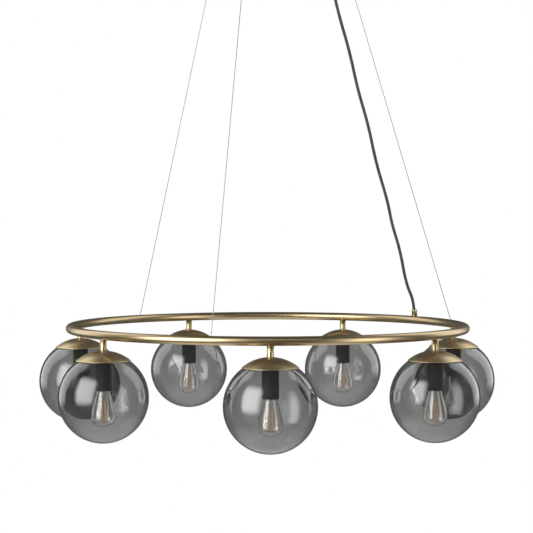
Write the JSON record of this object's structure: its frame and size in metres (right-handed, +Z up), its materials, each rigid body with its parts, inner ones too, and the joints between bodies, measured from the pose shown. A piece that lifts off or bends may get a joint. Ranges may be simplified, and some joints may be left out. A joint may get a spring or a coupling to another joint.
{
  "type": "cluster pendant",
  "caption": "Ceiling pendant: a brass tube ring hung on steel wires and a fabric cord carries smoked glass globes on short stems round its rim.",
  "frame": {"origin": "middle of the mounting plate's upper face, on the ceiling", "axes": "+Z up into the ceiling along the pendant's axis, -Y to the front, where one globe hangs"},
  "size_m": [0.9988, 0.9784, 1.3687],
  "materials": {
    "plate_steel": "zinc-plated sheet",
    "brass": "antique, brushed satin",
    "stem_brass": "antique, brushed satin",
    "cap_brass": "antique, turned and brushed round the axis",
    "terminal_plastic": "white moulding",
    "nut_steel": "zinc-plated",
    "cord_fabric": "black braided textile",
    "lead_insulation": "insulated leads",
    "gallery_black": "matt black",
    "socket_brass": "bare pressed brass",
    "wire_steel": "stranded rope",
    "gripper_nickel": "nickel-plated",
    "holder_black": "matt moulding",
    "smoke_glass": "smoke-tinted, blown, polished",
    "clear_glass": "clear, blown",
    "bulb_metal": "pressed base, amber filaments"
  },
  "bodies": {
    "canopy": {"mounting_plate": "plate_steel", "canopy_cup": "brass", "side_screws": "brass", "terminal_block": "terminal_plastic", "cord_grip": "brass", "swivel_bushes": "brass", "canopy_nuts": "nut_steel"},
    "ring": {"ring_tube": "brass", "ring_stems": "stem_brass", "ring_wiring": "lead_insulation", "cord_gland": "brass", "power_cord": "cord_fabric", "stem_nuts": "nut_steel", "glass_galleries": "gallery_black", "socket_shells": "socket_brass", "cap_1": "cap_brass", "cap_2": "cap_brass", "cap_3": "cap_brass", "cap_4": "cap_brass", "cap_5": "cap_brass", "cap_6": "cap_brass", "cap_7": "cap_brass", "lampholder_1": "holder_black", "lampholder_2": "holder_black", "lampholder_3": "holder_black", "lampholder_4": "holder_black", "lampholder_5": "holder_black", "lampholder_6": "holder_black", "lampholder_7": "holder_black"},
    "suspension_1": {"wire_1": "wire_steel", "gripper_1": "gripper_nickel"},
    "release_1": {"nozzle_1": "gripper_nickel"},
    "suspension_2": {"wire_2": "wire_steel", "gripper_2": "gripper_nickel"},
    "release_2": {"nozzle_2": "gripper_nickel"},
    "suspension_3": {"wire_3": "wire_steel", "gripper_3": "gripper_nickel"},
    "release_3": {"nozzle_3": "gripper_nickel"},
    "glass_1": {"globe_1": "smoke_glass"},
    "bulb_1": {"bulb_glass_1": "clear_glass", "bulb_base_1": "bulb_metal"},
    "glass_2": {"globe_2": "smoke_glass"},
    "bulb_2": {"bulb_glass_2": "clear_glass", "bulb_base_2": "bulb_metal"},
    "glass_3": {"globe_3": "smoke_glass"},
    "bulb_3": {"bulb_glass_3": "clear_glass", "bulb_base_3": "bulb_metal"},
    "glass_4": {"globe_4": "smoke_glass"},
    "bulb_4": {"bulb_glass_4": "clear_glass", "bulb_base_4": "bulb_metal"},
    "glass_5": {"globe_5": "smoke_glass"},
    "bulb_5": {"bulb_glass_5": "clear_glass", "bulb_base_5": "bulb_metal"},
    "glass_6": {"globe_6": "smoke_glass"},
    "bulb_6": {"bulb_glass_6": "clear_glass", "bulb_base_6": "bulb_metal"},
    "glass_7": {"globe_7": "smoke_glass"},
    "bulb_7": {"bulb_glass_7": "clear_glass", "bulb_base_7": "bulb_metal"}
  },
  "joints": [
    {"name": "sway", "type": "hinge", "parent": "canopy", "child": "ring", "pos_m": [0, 0, 0.16333], "axis": [0, 1, 0], "range_deg": [-5, 5], "deforming": ["power_cord"]},
    {"name": "wire_1_swing", "type": "hinge", "parent": "canopy", "child": "suspension_1", "pos_m": [-0.04198, 0.04287, -0.025], "axis": [0, 1, 0], "range_deg": [-5.84, 5.84]},
    {"name": "nozzle_1_press", "type": "slide", "parent": "suspension_1", "child": "release_1", "axis": [0.2124, -0.2169, 0.9528], "range_m": [0, 0.003], "stiffness_N_per_m": 300, "springref_m": -0.002},
    {"name": "wire_2_swing", "type": "hinge", "parent": "canopy", "child": "suspension_2", "pos_m": [-0.01614, -0.05779, -0.025], "axis": [0, 1, 0], "range_deg": [-5.84, 5.84]},
    {"name": "nozzle_2_press", "type": "slide", "parent": "suspension_2", "child": "release_2", "axis": [0.0816, 0.2924, 0.9528], "range_m": [0, 0.003], "stiffness_N_per_m": 300, "springref_m": -0.002},
    {"name": "wire_3_swing", "type": "hinge", "parent": "canopy", "child": "suspension_3", "pos_m": [0.05811, 0.01492, -0.025], "axis": [0, 1, 0], "range_deg": [-5.84, 5.84]},
    {"name": "nozzle_3_press", "type": "slide", "parent": "suspension_3", "child": "release_3", "axis": [-0.294, -0.0755, 0.9528], "range_m": [0, 0.003], "stiffness_N_per_m": 300, "springref_m": -0.002},
    {"name": "globe_1_drop", "type": "slide", "parent": "ring", "child": "glass_1", "axis": [0, 0, -1], "range_m": [0, 0.15]},
    {"name": "bulb_1_unscrew", "type": "hinge", "parent": "ring", "child": "bulb_1", "pos_m": [0, -0.42, -1.2], "axis": [0, 0, -1], "range_deg": [0, 1080]},
    {"name": "globe_2_drop", "type": "slide", "parent": "ring", "child": "glass_2", "axis": [0, 0, -1], "range_m": [0, 0.15]},
    {"name": "bulb_2_unscrew", "type": "hinge", "parent": "ring", "child": "bulb_2", "pos_m": [0.32837, -0.26187, -1.2], "axis": [0, 0, -1], "range_deg": [0, 1080]},
    {"name": "globe_3_drop", "type": "slide", "parent": "ring", "child": "glass_3", "axis": [0, 0, -1], "range_m": [0, 0.15]},
    {"name": "bulb_3_unscrew", "type": "hinge", "parent": "ring", "child": "bulb_3", "pos_m": [0.40947, 0.09346, -1.2], "axis": [0, 0, -1], "range_deg": [0, 1080]},
    {"name": "globe_4_drop", "type": "slide", "parent": "ring", "child": "glass_4", "axis": [0, 0, -1], "range_m": [0, 0.15]},
    {"name": "bulb_4_unscrew", "type": "hinge", "parent": "ring", "child": "bulb_4", "pos_m": [0.18223, 0.37841, -1.2], "axis": [0, 0, -1], "range_deg": [0, 1080]},
    {"name": "globe_5_drop", "type": "slide", "parent": "ring", "child": "glass_5", "axis": [0, 0, -1], "range_m": [0, 0.15]},
    {"name": "bulb_5_unscrew", "type": "hinge", "parent": "ring", "child": "bulb_5", "pos_m": [-0.18223, 0.37841, -1.2], "axis": [0, 0, -1], "range_deg": [0, 1080]},
    {"name": "globe_6_drop", "type": "slide", "parent": "ring", "child": "glass_6", "axis": [0, 0, -1], "range_m": [0, 0.15]},
    {"name": "bulb_6_unscrew", "type": "hinge", "parent": "ring", "child": "bulb_6", "pos_m": [-0.40947, 0.09346, -1.2], "axis": [0, 0, -1], "range_deg": [0, 1080]},
    {"name": "globe_7_drop", "type": "slide", "parent": "ring", "child": "glass_7", "axis": [0, 0, -1], "range_m": [0, 0.15]},
    {"name": "bulb_7_unscrew", "type": "hinge", "parent": "ring", "child": "bulb_7", "pos_m": [-0.32837, -0.26187, -1.2], "axis": [0, 0, -1], "range_deg": [0, 1080]}
  ],
  "couplings": [
    {"joint": "wire_1_swing", "follows": "sway", "ratio": 1.1667},
    {"joint": "wire_2_swing", "follows": "sway", "ratio": 1.1667},
    {"joint": "wire_3_swing", "follows": "sway", "ratio": 1.1667}
  ]
}
